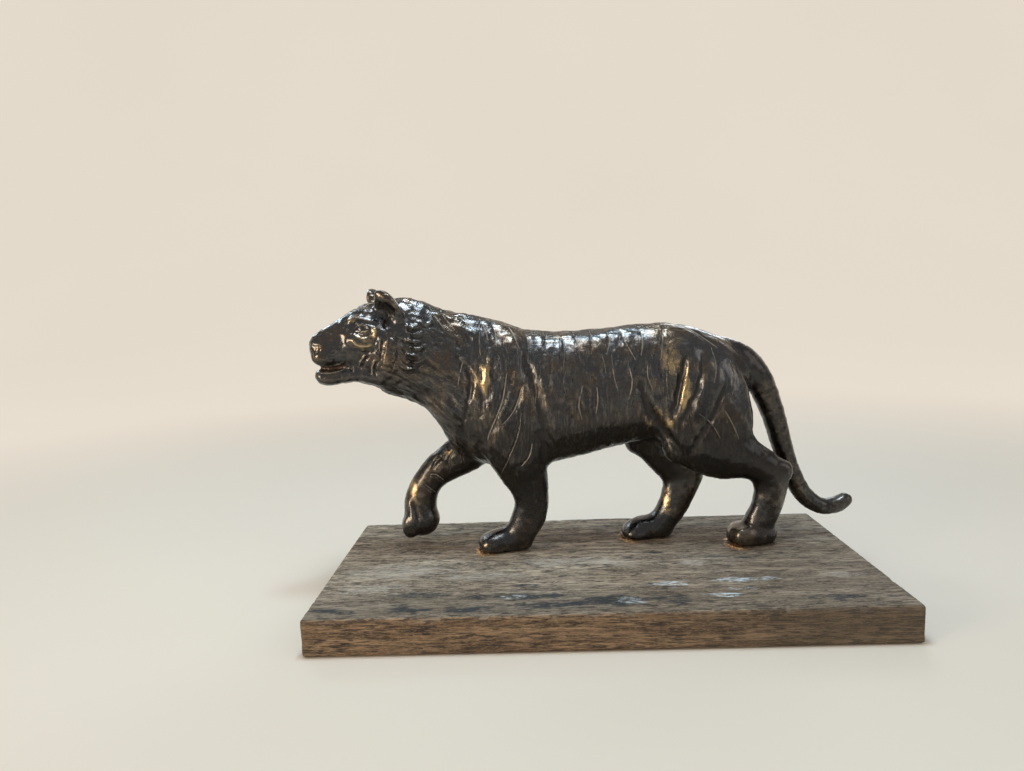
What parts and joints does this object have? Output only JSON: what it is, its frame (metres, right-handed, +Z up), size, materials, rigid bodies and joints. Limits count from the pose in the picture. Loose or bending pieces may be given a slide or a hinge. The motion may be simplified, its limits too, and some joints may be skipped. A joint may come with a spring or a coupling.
{
  "type": "tiger figurine",
  "caption": "Walking tiger cast in dark metal, one fore paw lifted, pegged to a rectangular board of weathered wood that carries it on a flat underside.",
  "frame": {"origin": "centre of the board's flat underside", "axes": "+X along the animal from its nose to its tail, +Y from its left flank to its right flank, +Z up"},
  "size_m": [0.1128, 0.053, 0.0627],
  "materials": {
    "casting": "blackened and polished cast metal, worn lighter on its high spots",
    "board": "weathered open-pored hardwood, bleached grey on top with dark stains"
  },
  "bodies": {
    "root": {"tiger": "casting", "wooden_base": "board"}
  },
  "joints": []
}
